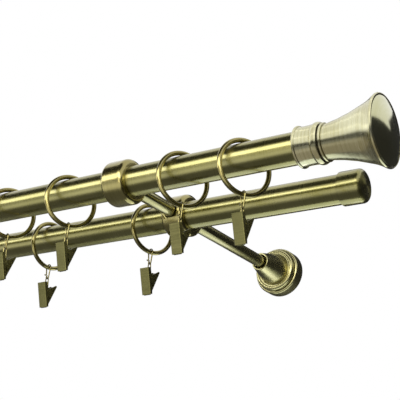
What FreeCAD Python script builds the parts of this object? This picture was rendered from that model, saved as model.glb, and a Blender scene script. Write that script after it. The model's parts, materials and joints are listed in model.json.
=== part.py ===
import FreeCAD, Part
import os
import re
import Sketcher

# Double curtain pole: two tubes on two wall brackets, with trumpet finials, end caps and clip rings.
# The origin is on the wall, midway between the brackets, level with both tubes.
# X runs along the tubes, Y points from the room to the wall and Z points up.

SIZES = [
    ("pole_length", 1200.0, "each tube, end to end"),
    ("pole_diameter", 25.0, "tube, outside"),
    ("pole_wall", 1.2, "tube wall"),
    ("pole_play", 0.1, "radial play of whatever slips over a tube"),
    ("bracket_inset", 174.0, "bracket from the tubes' nearer end"),
    ("rear_reach", 185.0, "wall to the rear tube's axis"),
    ("tube_spacing", 85.0, "rear tube's axis to the front tube's"),
    ("collar_diameter", 38.0, "bracket collar, outside"),
    ("collar_length", 22.0, "bracket collar, along the tube"),
    ("collar_round", 3.8, "rounding of the collar's outer edges"),
    ("arm_diameter", 12.0, "bracket arm"),
    ("arm_socket", 1.6, "depth of the flat seat that an arm stands in"),
    ("arm_play", 0.1, "radial play of an arm in its seat"),
    ("stud_diameter", 8.0, "threaded ends of the arms"),
    ("stud_length", 4.2, "threaded end in a collar"),
    ("stud_play", 0.05, "radial play of a threaded end"),
    ("plate_diameter", 44.4, "wall plate"),
    ("plate_thickness", 3.0, "wall plate"),
    ("boss_diameter", 18.0, "boss of the wall plate"),
    ("boss_height", 8.0, "boss above the wall plate"),
    ("boss_bore_depth", 9.0, "threaded hole in the boss"),
    ("screw_spacing", 31.0, "wall screw holes, one above the other"),
    ("screw_hole", 4.8, "wall screw hole"),
    ("screw_sink", 9.0, "countersink of a wall screw hole"),
    ("rose_diameter", 48.0, "cover rose, outside"),
    ("rose_wall", 1.5, "cover rose, wall"),
    ("rose_drum", 12.5, "height of the cover rose's drum"),
    ("rose_edge", 1.4, "rounding of the drum's edge"),
    ("step_radius", 21.4, "raised ring on the rose, outside"),
    ("step_height", 18.0, "raised ring on the rose, above the wall"),
    ("step_width", 3.0, "raised ring on the rose, across"),
    ("step_round", 1.5, "rounding of the raised ring"),
    ("groove_depth", 0.8, "grooves beside the rose's rings"),
    ("groove_width", 0.6, "grooves beside the rose's rings"),
    ("cone_base", 16.4, "radius of the rose's cone at its foot"),
    ("cone_mouth", 9.0, "radius of the rose's cone at its mouth"),
    ("cone_height", 46.4, "mouth of the rose's cone above the wall"),
    ("mouth_round", 0.6, "rounding of the cone's mouth"),
    ("grub_diameter", 5.0, "grub screws of the collars"),
    ("grub_small", 4.0, "grub screws of the finials"),
    ("grub_recess", 0.6, "grub screw head below the surface"),
    ("hex_depth", 2.0, "hexagon socket of a grub screw"),
    ("hex_share", 2.1, "grub diameter divided by the socket's corner radius"),
    ("finial_socket", 11.3, "tube end inside the finial"),
    ("finial_lip", 16.1, "radius of the finial's lip"),
    ("lip_width", 2.0, "finial lip along the tube"),
    ("finial_neck", 14.9, "radius of the finial's neck"),
    ("neck_hollow", 60.0, "curve of the neck's waist"),
    ("neck_end", 14.1, "neck's end from the lip's face"),
    ("bead_radius", 15.9, "radius of the finial's bead"),
    ("bead_width", 5.2, "finial's bead along the axis"),
    ("ring_radius", 14.8, "thin ring beside the bead"),
    ("ring_width", 1.8, "thin ring beside the bead"),
    ("waist_radius", 13.2, "start of the trumpet"),
    ("trumpet_start", 22.2, "start of the trumpet from the lip's face"),
    ("trumpet_middle", 53.0, "place where the flare tightens"),
    ("middle_radius", 21.1, "radius where the flare tightens"),
    ("trumpet_end", 64.4, "rim of the trumpet from the lip's face"),
    ("rim_radius", 27.2, "rim of the trumpet"),
    ("rim_width", 2.2, "rim along the axis"),
    ("rim_land", 1.1, "flat of the rim around the dome"),
    ("flare_curve", 128.0, "curve of the trumpet's flank"),
    ("rim_curve", 40.0, "curve of the flare at the rim"),
    ("finial_wall", 2.2, "wall around the trumpet's hollow"),
    ("hollow_foot", 9.5, "radius of the hollow at its foot"),
    ("hollow_start", 26.0, "foot of the hollow from the lip's face"),
    ("dome_thickness", 1.6, "edge of the dome"),
    ("dome_height", 4.2, "crown of the dome"),
    ("dome_play", 0.3, "gap between the dome and the rim"),
    ("cap_diameter", 28.2, "end cap, outside"),
    ("cap_socket", 17.6, "tube end inside the end cap"),
    ("cap_end", 2.2, "end cap, closed end"),
    ("cap_round", 3.8, "rounding of the end cap"),
    ("cap_crown", 0.9, "crown of the end cap"),
    ("hoop_radius", 22.0, "curtain ring, middle of its wire"),
    ("hoop_wire", 4.0, "curtain ring, wire"),
    ("hang_gap", 0.3, "play between links that hang in each other"),
    ("hook_wire", 1.2, "wire of the hook"),
    ("hook_taper", 8.0, "slope of the hook's legs in degrees"),
    ("hook_leg", 9.3, "long leg of the hook"),
    ("hook_tail", 5.6, "short leg of the hook"),
    ("tail_curl", 1.2, "curl at the end of the short leg"),
    ("eye_radius", 1.7, "eye of the hook, middle of its wire"),
    ("link_wire", 1.0, "wire of the link"),
    ("link_width", 5.0, "link at its lower end, between wire middles"),
    ("link_drop", 16.0, "link, from its upper to its lower end"),
    ("pin_diameter", 1.6, "pivot pin of the clip"),
    ("pin_head", 2.8, "head of the pivot pin"),
    ("pin_end", 0.5, "thickness of a pin head"),
    ("pin_play", 0.05, "radial play of the jaw on its pin"),
    ("clip_turn", 3.6, "link and clip turned about the upright, in degrees"),
    ("clip_width", 10.0, "front jaw across"),
    ("clip_sheet", 0.8, "sheet that the jaws are folded from"),
    ("ear_play", 0.3, "play between the ears of the two jaws"),
    ("front_depth", 4.2, "pin behind the front jaw's inner face"),
    ("back_depth", 6.2, "pin before the back jaw's inner face"),
    ("tip_drop", 15.2, "pin to the jaws' tips"),
    ("front_handle", 9.2, "pin to the end of the front handle, along the sheet"),
    ("back_handle", 10.8, "pin to the end of the back handle, along the sheet"),
    ("jaw_gap", 0.3, "gap between the closed jaws"),
    ("handle_flange", 3.0, "turned-in flange at the end of the front handle"),
    ("back_flange", 1.0, "turned-in flange of the back jaw"),
    ("tip_flange", 1.5, "turned-in flange of the front jaw at its tip"),
    ("fold_round", 0.7, "outer rounding of a jaw's folds"),
    ("ear_radius", 1.9, "ear around the pin"),
    ("ear_foot", 4.4, "ear's foot on the front jaw, above and below the pin"),
    ("foot_flange", 3.0, "turned-in flange at the ear's foot"),
    ("window_low", 2.9, "lower edge of the back ear's window above the pin"),
    ("window_high", 8.0, "upper corner of the back ear's window above the pin"),
    ("window_width", 2.2, "back ear's window at its lower edge"),
    ("spring_wire", 0.8, "spring wire"),
    ("spring_radius", 1.9, "spring coil, middle of its wire"),
    ("spring_inner", 0.9, "coil's near end from the clip's middle"),
    ("spring_outer", 2.8, "coil's far end from the clip's middle"),
    ("spring_leg", 7.6, "spring leg above the pin"),
]

BRACKET = "(pole_length / 2 - bracket_inset)"
REAR = "rear_reach"
FRONT = "(rear_reach + tube_spacing)"

# Rings as they hang in the photograph: name, tube, place from the right bracket outwards and turn in degrees.
HOOPS = [
    ("ring_1", FRONT, -126.5, 25.0),
    ("ring_2", FRONT, -56.1, 24.6),
    ("ring_3", FRONT, 59.5, 25.3),
    ("ring_4", FRONT, 115.6, 27.4),
    ("ring_5", REAR, -153.6, 9.0),
    ("ring_6", REAR, -31.7, 17.0),
]

doc = FreeCAD.newDocument("double_curtain_pole")
sheet = doc.addObject("Spreadsheet::Sheet", "Sizes")
table = list(SIZES)
for name, reach, place_mm, turn_deg in HOOPS:
    table.append((name + "_place", place_mm, name + " from the right bracket, outwards"))
    table.append((name + "_turn", turn_deg, name + " turned about the upright, in degrees"))
for row, (alias, value, note) in enumerate(table, start=1):
    sheet.set(f"A{row}", alias)
    sheet.set(f"B{row}", str(value))
    sheet.set(f"C{row}", note)
    sheet.setAlias(f"B{row}", alias)
doc.recompute()

parts = []


def bound(text):
    """An expression in size names, as the document wants it: each name with the sheet's in front."""
    return re.sub(r"[a-z]+(_[a-z0-9]+)+", lambda found: "Sizes." + found.group(), str(text))


def value_of(text):
    """The number that an expression in size names has now."""
    return float(sheet.evalExpression(bound(text)))


def new_body(label):
    """A new named piece, to which the functions below add features."""
    body = doc.addObject("PartDesign::Body", label)
    body.Label = label
    parts.append(body)
    return body


def place(body, x="0", y="0", z="0", turn="0"):
    """Puts a piece at x, y, z, turned about the upright by some degrees."""
    spot = f"create(<<vector>>; {bound(x)}; {bound(y)}; {bound(z)})"
    spin = f"create(<<rotation>>; create(<<vector>>; 0; 0; 1); {bound(turn)})"
    body.setExpression("Placement", f"create(<<placement>>; {spot}; {spin})")


def sketch_on(body, plane, tilt="0", lift="0"):
    """A sketch on one of the piece's own origin planes, tilted within it and lifted off it."""
    sketch = body.newObject("Sketcher::SketchObject", body.Label + "_sketch")
    support = [item for item in body.Origin.OriginFeatures if item.Role == plane + "_Plane"]
    sketch.AttachmentSupport = (support[0], [""])
    sketch.MapMode = "FlatFace"
    if tilt != "0":
        sketch.AttachmentOffset = FreeCAD.Placement(
            FreeCAD.Vector(), FreeCAD.Rotation(FreeCAD.Vector(0, 0, 1), 1)
        )
        sketch.setExpression(".AttachmentOffset.Rotation.Angle", bound(tilt))
    if lift != "0":
        sketch.setExpression(".AttachmentOffset.Base.z", bound(lift))
    return sketch


def pin_down(sketch, kind, geometry, expression, end=None):
    """Constrains one measure of a sketch and binds it to an expression."""
    value = value_of(expression)
    if kind == "Radius":
        rule = Sketcher.Constraint(kind, geometry, value)
    else:
        rule = Sketcher.Constraint(kind, -1, 1, geometry, end, value)
    number = sketch.addConstraint(rule)
    sketch.renameConstraint(number, f"size{number}")
    sketch.setExpression(f"Constraints.size{number}", bound(expression))


def draw(sketch, points, closed=True):
    """Draws an outline through the points.

    A point is (x, y), or (x, y, radius, side) when an arc of that radius leads to it, with the arc's
    centre on the left (side 1) or the right (side -1) of the way along it.
    """
    spots = [FreeCAD.Vector(value_of(point[0]), value_of(point[1]), 0) for point in points]
    ends = []
    count = len(points) if closed else len(points) - 1
    for index in range(count):
        start, stop = spots[index], spots[(index + 1) % len(points)]
        target = points[(index + 1) % len(points)]
        if len(target) == 2:
            number = sketch.addGeometry(Part.LineSegment(start, stop), False)
            ends.append((number, 1, 2))
            continue
        radius, side = value_of(target[2]), target[3]
        chord = stop - start
        normal = FreeCAD.Vector(-chord.y, chord.x, 0).normalize() * side
        rise = max(radius * radius - chord.Length * chord.Length / 4, 0.0) ** 0.5
        centre = start + chord * 0.5 + normal * rise
        first, last = (start, stop) if side > 0 else (stop, start)
        turn = FreeCAD.Vector(1, 0, 0)
        angles = [turn.getAngle(spot - centre) for spot in (first, last)]
        angles = [a if (spot - centre).y >= 0 else -a for a, spot in zip(angles, (first, last))]
        circle = Part.Circle(centre, FreeCAD.Vector(0, 0, 1), radius)
        number = sketch.addGeometry(Part.ArcOfCircle(circle, angles[0], angles[1]), False)
        ends.append((number, 1, 2) if side > 0 else (number, 2, 1))
        pin_down(sketch, "Radius", number, target[2])
    for index in range(count if closed else count - 1):
        here, following = ends[index], ends[(index + 1) % count]
        sketch.addConstraint(Sketcher.Constraint("Coincident", here[0], here[2], following[0], following[1]))
    for index, (number, start, stop) in enumerate(ends):
        pin_down(sketch, "DistanceX", number, points[index][0], start)
        pin_down(sketch, "DistanceY", number, points[index][1], start)
    if not closed:
        pin_down(sketch, "DistanceX", ends[-1][0], points[-1][0], ends[-1][2])
        pin_down(sketch, "DistanceY", ends[-1][0], points[-1][1], ends[-1][2])


def draw_circle(sketch, x, y, radius):
    """Draws one circle."""
    middle = FreeCAD.Vector(value_of(x), value_of(y), 0)
    circle = Part.Circle(middle, FreeCAD.Vector(0, 0, 1), value_of(radius))
    number = sketch.addGeometry(circle, False)
    pin_down(sketch, "DistanceX", number, x, 3)
    pin_down(sketch, "DistanceY", number, y, 3)
    pin_down(sketch, "Radius", number, radius)


def revolve(body, points, axis):
    """Turns a closed outline on the XY plane about X (H_Axis) or Y (V_Axis)."""
    sketch = sketch_on(body, "XY")
    draw(sketch, points)
    feature = body.newObject("PartDesign::Revolution", body.Label + "_turned")
    feature.Profile = sketch
    feature.ReferenceAxis = (sketch, [axis])
    feature.Angle = 360
    return feature


def extrude(body, sketch, length, kind="Pad"):
    """Pads or pockets a sketch by a length, half of it on each side of the sketch's plane."""
    feature = body.newObject("PartDesign::" + kind, body.Label + "_" + kind.lower())
    feature.Profile = sketch
    feature.Midplane = True
    feature.setExpression("Length", bound(length))
    return feature


def rod(body, kind, plane, radius, start, stop, x="0", y="0"):
    """Adds or cuts a cylinder along a plane's normal, from start to stop on that normal."""
    feature = body.newObject(f"PartDesign::{kind}Cylinder", body.Label + "_cylinder")
    support = [item for item in body.Origin.OriginFeatures if item.Role == plane + "_Plane"]
    feature.AttachmentSupport = (support[0], [""])
    feature.MapMode = "FlatFace"
    feature.setExpression("Radius", bound(radius))
    feature.setExpression("Height", bound(f"({stop}) - ({start})"))
    feature.setExpression(".AttachmentOffset.Base.x", bound(x))
    feature.setExpression(".AttachmentOffset.Base.y", bound(y))
    feature.setExpression(".AttachmentOffset.Base.z", bound(start))
    return feature


def wire(body, plane, points, radius, tilt="0", lift="0"):
    """Carries a round wire along a path of lines and arcs, which may end where it starts."""
    path = sketch_on(body, plane, tilt, lift)
    draw(path, points, closed=False)
    profile = body.newObject("Sketcher::SketchObject", body.Label + "_profile")
    profile.AttachmentSupport = (path, ["Edge1"])
    profile.MapMode = "NormalToEdge"
    draw_circle(profile, "0", "0", radius)
    feature = body.newObject("PartDesign::AdditivePipe", body.Label + "_wire")
    feature.Profile = profile
    feature.Spine = (path, [])
    feature.Transition = "Round corner"
    return feature


def make_pole(label, reach):
    """A drawn tube."""
    body = new_body(label)
    inner = "pole_diameter / 2 - pole_wall"
    outer = "pole_diameter / 2"
    half = "pole_length / 2"
    revolve(body, [(f"-{half}", inner), (half, inner), (half, outer), (f"-{half}", outer)], "H_Axis")
    place(body, y=f"-{reach}")


def make_end_cap(label, side):
    """A turned cup that slips over the end of the rear tube."""
    body = new_body(label)
    bore = "pole_diameter / 2 + pole_play"
    outer = "cap_diameter / 2"
    end = "cap_socket + cap_end"
    face = f"({outer} - cap_round)"
    revolve(
        body,
        [
            ("cap_socket", "0"),
            (f"{end} + cap_crown", "0"),
            (end, face, f"({face}^2 + cap_crown^2) / (2 * cap_crown)", 1),
            (f"{end} - cap_round", outer, "cap_round", 1),
            ("0", outer),
            ("0", bore),
            ("cap_socket", bore),
        ],
        "H_Axis",
    )
    spot = f"{side} * (pole_length / 2 - cap_socket)"
    place(body, x=spot, y=f"-{REAR}", turn="0" if side > 0 else "180")


def make_finial(label, side):
    """The trumpet: socket with a lip, waisted neck, bead, thin ring, flared flank and rim."""
    body = new_body(label)
    bore = "pole_diameter / 2 + pole_play"
    bead_end = "neck_end + bead_width"
    bead_rise = "(bead_radius - finial_neck)"
    bead_curve = f"((bead_width / 2)^2 + {bead_rise}^2) / (2 * {bead_rise})"
    seat = "rim_radius - rim_land"
    revolve(
        body,
        [
            ("0", bore),
            ("finial_socket", bore),
            ("finial_socket", "0"),
            ("hollow_start", "0"),
            ("hollow_start", "hollow_foot"),
            ("trumpet_end - finial_wall", f"{seat} - 2 * finial_wall"),
            ("trumpet_end + rim_width - dome_thickness - dome_play", f"{seat} - 2 * finial_wall"),
            ("trumpet_end + rim_width - dome_thickness - dome_play", seat),
            ("trumpet_end + rim_width", seat),
            ("trumpet_end + rim_width", "rim_radius - rim_land / 2"),
            ("trumpet_end + rim_width / 2", "rim_radius", "rim_width", 1),
            ("trumpet_end", "rim_radius - rim_land / 2", "rim_width", 1),
            ("trumpet_middle", "middle_radius", "rim_curve", -1),
            ("trumpet_start", "waist_radius", "flare_curve", -1),
            ("trumpet_start", "ring_radius - ring_width / 3"),
            ("trumpet_start - ring_width", "ring_radius - ring_width / 3", "0.65 * ring_width", 1),
            ("trumpet_start - ring_width", "waist_radius"),
            (bead_end, "waist_radius"),
            (bead_end, "finial_neck"),
            ("neck_end", "finial_neck", bead_curve, 1),
            ("lip_width", "finial_neck", "neck_hollow", -1),
            ("lip_width", "finial_lip - lip_width / 3"),
            ("0", "finial_lip - lip_width / 3", "0.6 * lip_width", 1),
        ],
        "H_Axis",
    )
    rod(body, "Subtractive", "XY", "grub_small / 2", "0", "finial_lip * 2", x="finial_socket / 2")
    spot = f"{side} * (pole_length / 2 - finial_socket)"
    place(body, x=spot, y=f"-{FRONT}", turn="0" if side > 0 else "180")


def make_finial_dome(label, side):
    """The shallow dome that closes the trumpet."""
    body = new_body(label)
    edge = "rim_radius - rim_land - dome_play"
    back = "trumpet_end + rim_width - dome_thickness"
    front = "trumpet_end + rim_width"
    curve = f"(({edge})^2 + dome_height^2) / (2 * dome_height)"
    revolve(
        body,
        [(back, "0"), (f"{front} + dome_height", "0"), (front, edge, curve, 1), (back, edge)],
        "H_Axis",
    )
    spot = f"{side} * (pole_length / 2 - finial_socket)"
    place(body, x=spot, y=f"-{FRONT}", turn="0" if side > 0 else "180")


def make_collar(label, side, reach, arms):
    """A closed collar with a seat and a tapped hole for each arm, and a tapped hole on top."""
    body = new_body(label)
    bore = "pole_diameter / 2 + pole_play"
    outer = "collar_diameter / 2"
    half = "collar_length / 2"
    revolve(
        body,
        [
            (f"-{half}", bore),
            (half, bore),
            (half, f"{outer} - collar_round"),
            (f"{half} - collar_round", outer, "collar_round", 1),
            (f"collar_round - {half}", outer),
            (f"-{half}", f"{outer} - collar_round", "collar_round", 1),
        ],
        "H_Axis",
    )
    floor = "collar_diameter / 2 - arm_socket"
    for way in arms:
        seat = (floor, outer) if way < 0 else (f"-{outer}", f"-({floor})")
        hole = ("0", outer) if way < 0 else (f"-{outer}", "0")
        rod(body, "Subtractive", "XZ", "arm_diameter / 2 + arm_play", *seat)
        rod(body, "Subtractive", "XZ", "stud_diameter / 2 + stud_play", *hole)
    rod(body, "Subtractive", "XY", "grub_diameter / 2", "0", outer)
    place(body, x=f"{side} * {BRACKET}", y=f"-{reach}")


def make_arm(label, side, near, far, tail):
    """A bracket arm: a rod with a threaded end at each end, along Y from near to far."""
    body = new_body(label)
    stud = "stud_diameter / 2"
    radius = "arm_diameter / 2"
    revolve(
        body,
        [
            ("0", f"{near} - stud_length"),
            (stud, f"{near} - stud_length"),
            (stud, near),
            (radius, near),
            (radius, far),
            (stud, far),
            (stud, f"{far} + {tail}"),
            ("0", f"{far} + {tail}"),
        ],
        "V_Axis",
    )
    place(body, x=f"{side} * {BRACKET}")


def make_wall_plate(label, side):
    """The plate that is screwed to the wall, with a boss for the arm."""
    body = new_body(label)
    top = "plate_thickness + boss_height"
    revolve(
        body,
        [
            ("0", "0"),
            ("plate_diameter / 2", "0"),
            ("plate_diameter / 2", "-plate_thickness"),
            ("boss_diameter / 2", "-plate_thickness"),
            ("boss_diameter / 2", f"-({top})"),
            ("stud_diameter / 2 + stud_play", f"-({top})"),
            ("stud_diameter / 2 + stud_play", f"boss_bore_depth - ({top})"),
            ("0", f"boss_bore_depth - ({top})"),
        ],
        "V_Axis",
    )
    for way in (1, -1):
        spot = f"{way} * screw_spacing / 2"
        rod(body, "Subtractive", "XZ", "screw_hole / 2", "0", "plate_thickness", y=spot)
        depth = "(screw_sink - screw_hole) / 2"
        sink = body.newObject("PartDesign::SubtractiveCone", label + "_sink")
        support = [item for item in body.Origin.OriginFeatures if item.Role == "XZ_Plane"]
        sink.AttachmentSupport = (support[0], [""])
        sink.MapMode = "FlatFace"
        sink.setExpression("Radius1", bound("screw_hole / 2"))
        sink.setExpression("Radius2", bound("screw_sink / 2"))
        sink.setExpression("Height", bound(depth))
        sink.setExpression(".AttachmentOffset.Base.y", bound(spot))
        sink.setExpression(".AttachmentOffset.Base.z", bound(f"plate_thickness - {depth}"))
    place(body, x=f"{side} * {BRACKET}")


def make_rose(label, side):
    """The hollow cover over the wall plate: drum, rim, raised ring and a cone open around the arm."""
    body = new_body(label)
    outer = "rose_diameter / 2"
    step_inner = "step_radius - step_width"
    shelf = "rose_drum - groove_depth"
    ledge = "step_height - groove_depth"
    revolve(
        body,
        [
            (outer, "0"),
            (outer, "rose_edge - rose_drum"),
            (f"{outer} - rose_edge", "-rose_drum", "rose_edge", -1),
            ("step_radius + groove_width", "-rose_drum"),
            ("step_radius + groove_width", f"-({shelf})"),
            ("step_radius", f"-({shelf})"),
            ("step_radius", "step_round - step_height"),
            ("step_radius - step_round", "-step_height", "step_round", -1),
            (step_inner, "-step_height"),
            (f"{step_inner} - groove_width", f"-({ledge})"),
            ("cone_base", f"-({ledge})"),
            ("cone_base", "-step_height"),
            ("cone_mouth", "mouth_round - cone_height"),
            ("cone_mouth - mouth_round", "-cone_height", "mouth_round", -1),
            ("cone_mouth - rose_wall", "-cone_height"),
            ("cone_base - rose_wall", "-step_height"),
            ("cone_base - rose_wall", f"rose_wall - ({ledge})"),
            ("step_radius - rose_wall", f"rose_wall - ({ledge})"),
            ("step_radius - rose_wall", f"rose_wall - ({shelf})"),
            (f"{outer} - rose_wall", f"rose_wall - ({shelf})"),
            (f"{outer} - rose_wall", "0"),
        ],
        "V_Axis",
    )
    place(body, x=f"{side} * {BRACKET}")


def grub_shape(diameter, length):
    """A grub screw standing on the origin, with a hexagon socket in its upper end."""
    blank = Part.makeCylinder(diameter / 2, length)
    corner = diameter / value_of("hex_share") * 2 / 3
    socket = Part.makePolygon(
        [
            FreeCAD.Base.Rotation(FreeCAD.Vector(0, 0, 1), 60 * turn).multVec(FreeCAD.Vector(corner, 0, 0))
            for turn in range(7)
        ]
    )
    socket = Part.Face(socket).extrude(FreeCAD.Vector(0, 0, value_of("hex_depth")))
    socket.translate(FreeCAD.Vector(0, 0, length - value_of("hex_depth")))
    return blank.cut(socket)


def make_grub_screws(label, diameter, top, spots):
    """A group of like grub screws, each with its point on a tube and its head just below a surface."""
    tube = value_of("pole_diameter / 2")
    length = value_of(top) - value_of("grub_recess") - tube
    screws = []
    for x, y in spots:
        screw = grub_shape(value_of(diameter) - 2 * value_of("stud_play"), length)
        screw.translate(FreeCAD.Vector(value_of(x), value_of(y), tube))
        screws.append(screw)
    group = doc.addObject("Part::Feature", label)
    group.Label = label
    group.Shape = Part.makeCompound(screws)
    parts.append(group)


def make_hoop(label, spot):
    """The curtain ring: a round wire bent to a circle in the plane of Y and Z."""
    body = new_body(label)
    sketch = sketch_on(body, "XY")
    draw_circle(sketch, "0", "hoop_radius", "hoop_wire / 2")
    feature = body.newObject("PartDesign::Revolution", label + "_turned")
    feature.Profile = sketch
    feature.ReferenceAxis = (sketch, ["H_Axis"])
    feature.Angle = 360
    place(body, *spot)


def make_hook(label, spot):
    """The wire hook over the ring: a bend, a short curled leg and a long leg that ends in an eye."""
    body = new_body(label)
    bend = "(hoop_wire / 2 + hook_wire / 2 + hang_gap)"
    slope = "hook_taper * 1deg"
    middle = "-hoop_radius"
    side = f"{bend} * cos({slope})"
    drop = f"{bend} * sin({slope})"
    tail_x = f"hook_tail * sin({slope}) - {side}"
    tail_z = f"{middle} - {drop} - hook_tail * cos({slope})"
    leg_x = f"{side} - hook_leg * sin({slope})"
    leg_z = f"{middle} - {drop} - hook_leg * cos({slope})"
    eye_x = f"{leg_x} - eye_radius * cos({slope})"
    eye_z = f"{leg_z} + eye_radius * sin({slope})"
    wire(
        body,
        "XZ",
        [
            (f"{tail_x} - 1.8 * tail_curl", f"{tail_z} - 0.4 * tail_curl"),
            (tail_x, tail_z, "tail_curl", 1),
            (f"-{side}", f"{middle} - {drop}"),
            ("0", f"{middle} + {bend}", bend, -1),
            (side, f"{middle} - {drop}", bend, -1),
            (leg_x, leg_z),
            (eye_x, f"{eye_z} - eye_radius", "eye_radius", -1),
            (f"{eye_x} - eye_radius", eye_z, "eye_radius", -1),
            (f"{eye_x} - eye_radius * sin(30)", f"{eye_z} + eye_radius * cos(30)", "eye_radius", -1),
        ],
        "hook_wire / 2",
    )
    place(body, *spot)


def eye_bottom():
    """The lowest point of the hook's eye, in the middle of its wire, below the ring's middle."""
    bend = "(hoop_wire / 2 + hook_wire / 2 + hang_gap)"
    slope = "hook_taper * 1deg"
    leg = f"hoop_radius + {bend} * sin({slope}) + hook_leg * cos({slope})"
    return f"({leg} - eye_radius * sin({slope}) + eye_radius)"


def pin_drop():
    """The pivot pin's depth below the ring's middle: it lies in the lower end of the link."""
    top = "(hook_wire / 2 + link_wire / 2 + hang_gap)"
    rest = "(pin_diameter / 2 + link_wire / 2 + hang_gap)"
    return f"({eye_bottom()} - {top} + link_drop - {rest})"


def make_link(label, spot):
    """The closed link between the hook's eye and the clip's pin, in the plane of Y and Z."""
    body = new_body(label)
    top = "(hook_wire / 2 + link_wire / 2 + hang_gap)"
    half = "link_width / 2"
    high = f"(-{eye_bottom()})"
    low = f"({high} + {top} - link_drop + {half})"
    lean = f"asin(({half} - {top}) / ({high} - {low}))"
    wire(
        body,
        "YZ",
        [
            (f"{half} * cos({lean})", f"{low} + {half} * sin({lean})"),
            (f"{top} * cos({lean})", f"{high} + {top} * sin({lean})"),
            (f"-{top} * cos({lean})", f"{high} + {top} * sin({lean})", top, 1),
            (f"-{half} * cos({lean})", f"{low} + {half} * sin({lean})"),
            ("0", f"{low} - {half}", half, 1),
            (f"{half} * cos({lean})", f"{low} + {half} * sin({lean})", half, 1),
        ],
        "link_wire / 2",
    )
    place(body, *spot)


def jaw_lean(depth):
    """The slope of a closed jaw: each leans from its tip, under the pin, away from the other one."""
    return f"asin(({depth} - jaw_gap / 2) / tip_drop)"


def fold_jaw(body, side, width, depth, edge):
    """Folds a jaw: its side outline padded across, its folds rounded and the space between them cut out.

    The outline's edge is given for a jaw that stands upright on the side of +Y.
    """
    mirror = "" if side > 0 else "-"
    tilt = f"{-side} * {jaw_lean(depth)}"
    outline = sketch_on(body, "YZ", tilt=tilt)
    points = [(f"{mirror}({point[0]})", point[1], *point[2:3], *(side * way for way in point[3:])) for point in edge]
    draw(outline, points)
    blank = extrude(body, outline, width)
    doc.recompute()
    longest = sorted((-line.Length, number) for number, line in enumerate(blank.Shape.Edges, start=1))[:2]
    folds = body.newObject("PartDesign::Fillet", body.Label + "_folds")
    folds.Base = (blank, [f"Edge{number}" for length, number in longest])
    folds.setExpression("Radius", bound("fold_round"))
    hollow = sketch_on(body, "YZ", tilt=tilt)
    near = f"{mirror}({depth})"
    far = f"{mirror}(-2 * ear_radius)"
    draw(hollow, [(near, "-2 * tip_drop"), (near, "2 * tip_drop"), (far, "2 * tip_drop"), (far, "-2 * tip_drop")])
    extrude(body, hollow, f"{width} - 2 * clip_sheet", "Pocket")


def make_front_jaw(label, spot):
    """The front jaw with its riveted pivot pin: deep flanges that widen to an ear around the pin."""
    body = new_body(label)
    tip = f"-(tip_drop * cos({jaw_lean('front_depth')}))"
    edge = [
        ("front_depth + clip_sheet", tip),
        ("front_depth + clip_sheet", "front_handle"),
        ("front_depth - handle_flange", "front_handle"),
        ("front_depth - foot_flange", "ear_foot"),
        ("0", "ear_radius"),
        ("-ear_radius", "0", "ear_radius", 1),
        ("0", "-ear_radius", "ear_radius", 1),
        ("front_depth - foot_flange", "-ear_foot"),
        ("front_depth - tip_flange", tip),
    ]
    fold_jaw(body, -1, "clip_width", "front_depth", edge)
    half = "clip_width / 2"
    rod(body, "Additive", "YZ", "pin_diameter / 2", f"-({half} + pin_end)", f"{half} + pin_end")
    rod(body, "Additive", "YZ", "pin_head / 2", half, f"{half} + pin_end")
    rod(body, "Additive", "YZ", "pin_head / 2", f"-({half} + pin_end)", f"-{half}")
    place(body, *spot)


def make_back_jaw(label, spot):
    """The back jaw, which swings on the pin between the front jaw's ears: each of its ears has a window."""
    body = new_body(label)
    width = "(clip_width - 2 * clip_sheet - 2 * ear_play)"
    tip = f"-(tip_drop * cos({jaw_lean('back_depth')}))"
    inner = "back_depth - back_flange"
    edge = [
        ("back_depth + clip_sheet", tip),
        ("back_depth + clip_sheet", "back_handle"),
        (inner, "back_handle"),
        ("-ear_radius * sin(30)", "ear_radius * cos(30)"),
        ("-ear_radius", "0", "ear_radius", 1),
        ("0", "-ear_radius", "ear_radius", 1),
        (inner, "-ear_foot"),
        (inner, f"{tip} + 3 * back_flange"),
        ("back_depth", f"{tip} + back_flange"),
        ("back_depth", tip),
    ]
    fold_jaw(body, 1, width, "back_depth", edge)
    window = sketch_on(body, "YZ", tilt=f"-{jaw_lean('back_depth')}")
    draw(window, [(inner, "window_low"), (inner, "window_high"), (f"{inner} - window_width", "window_low")])
    extrude(body, window, f"2 * {width}", "Pocket")
    rod(body, "Subtractive", "YZ", "pin_diameter / 2 + pin_play", f"-{width}", width)
    place(body, *spot)


def make_spring(label, spot):
    """The double coil spring around the pin: a bridge on the front handle and two legs on the back one."""
    body = new_body(label)
    outer = "spring_radius + spring_wire / 2"
    leg_x = "(spring_inner + spring_outer) / 2"
    reach = "(front_depth - spring_wire / 2 - pin_play)"
    lean = jaw_lean("front_depth")
    bridge_y = f"-{reach} * cos({lean}) - spring_leg * sin({lean})"
    bridge_z = f"spring_leg * cos({lean}) - {reach} * sin({lean})"
    span = f"({leg_x} + spring_wire)"
    rod(body, "Additive", "YZ", "spring_wire / 2", f"-{span}", span, x=bridge_y, y=bridge_z)
    for way in (1, -1):
        near = "spring_inner" if way > 0 else "-spring_outer"
        far = "spring_outer" if way > 0 else "-spring_inner"
        for side, depth in ((-1, "front_depth"), (1, "back_depth")):
            foot = f"{side} * ({depth} - spring_wire / 2 - pin_play)"
            leg = [(f"{side} * spring_radius", "0"), (foot, "spring_leg")]
            wire(body, "YZ", leg, "spring_wire / 2", f"{-side} * {jaw_lean(depth)}", f"{way} * ({leg_x})")
            if side < 0:
                rod(body, "Additive", "YZ", outer, near, far)
    rod(body, "Subtractive", "YZ", "spring_radius - spring_wire / 2", "-spring_outer", "spring_outer")
    place(body, *spot)


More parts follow.
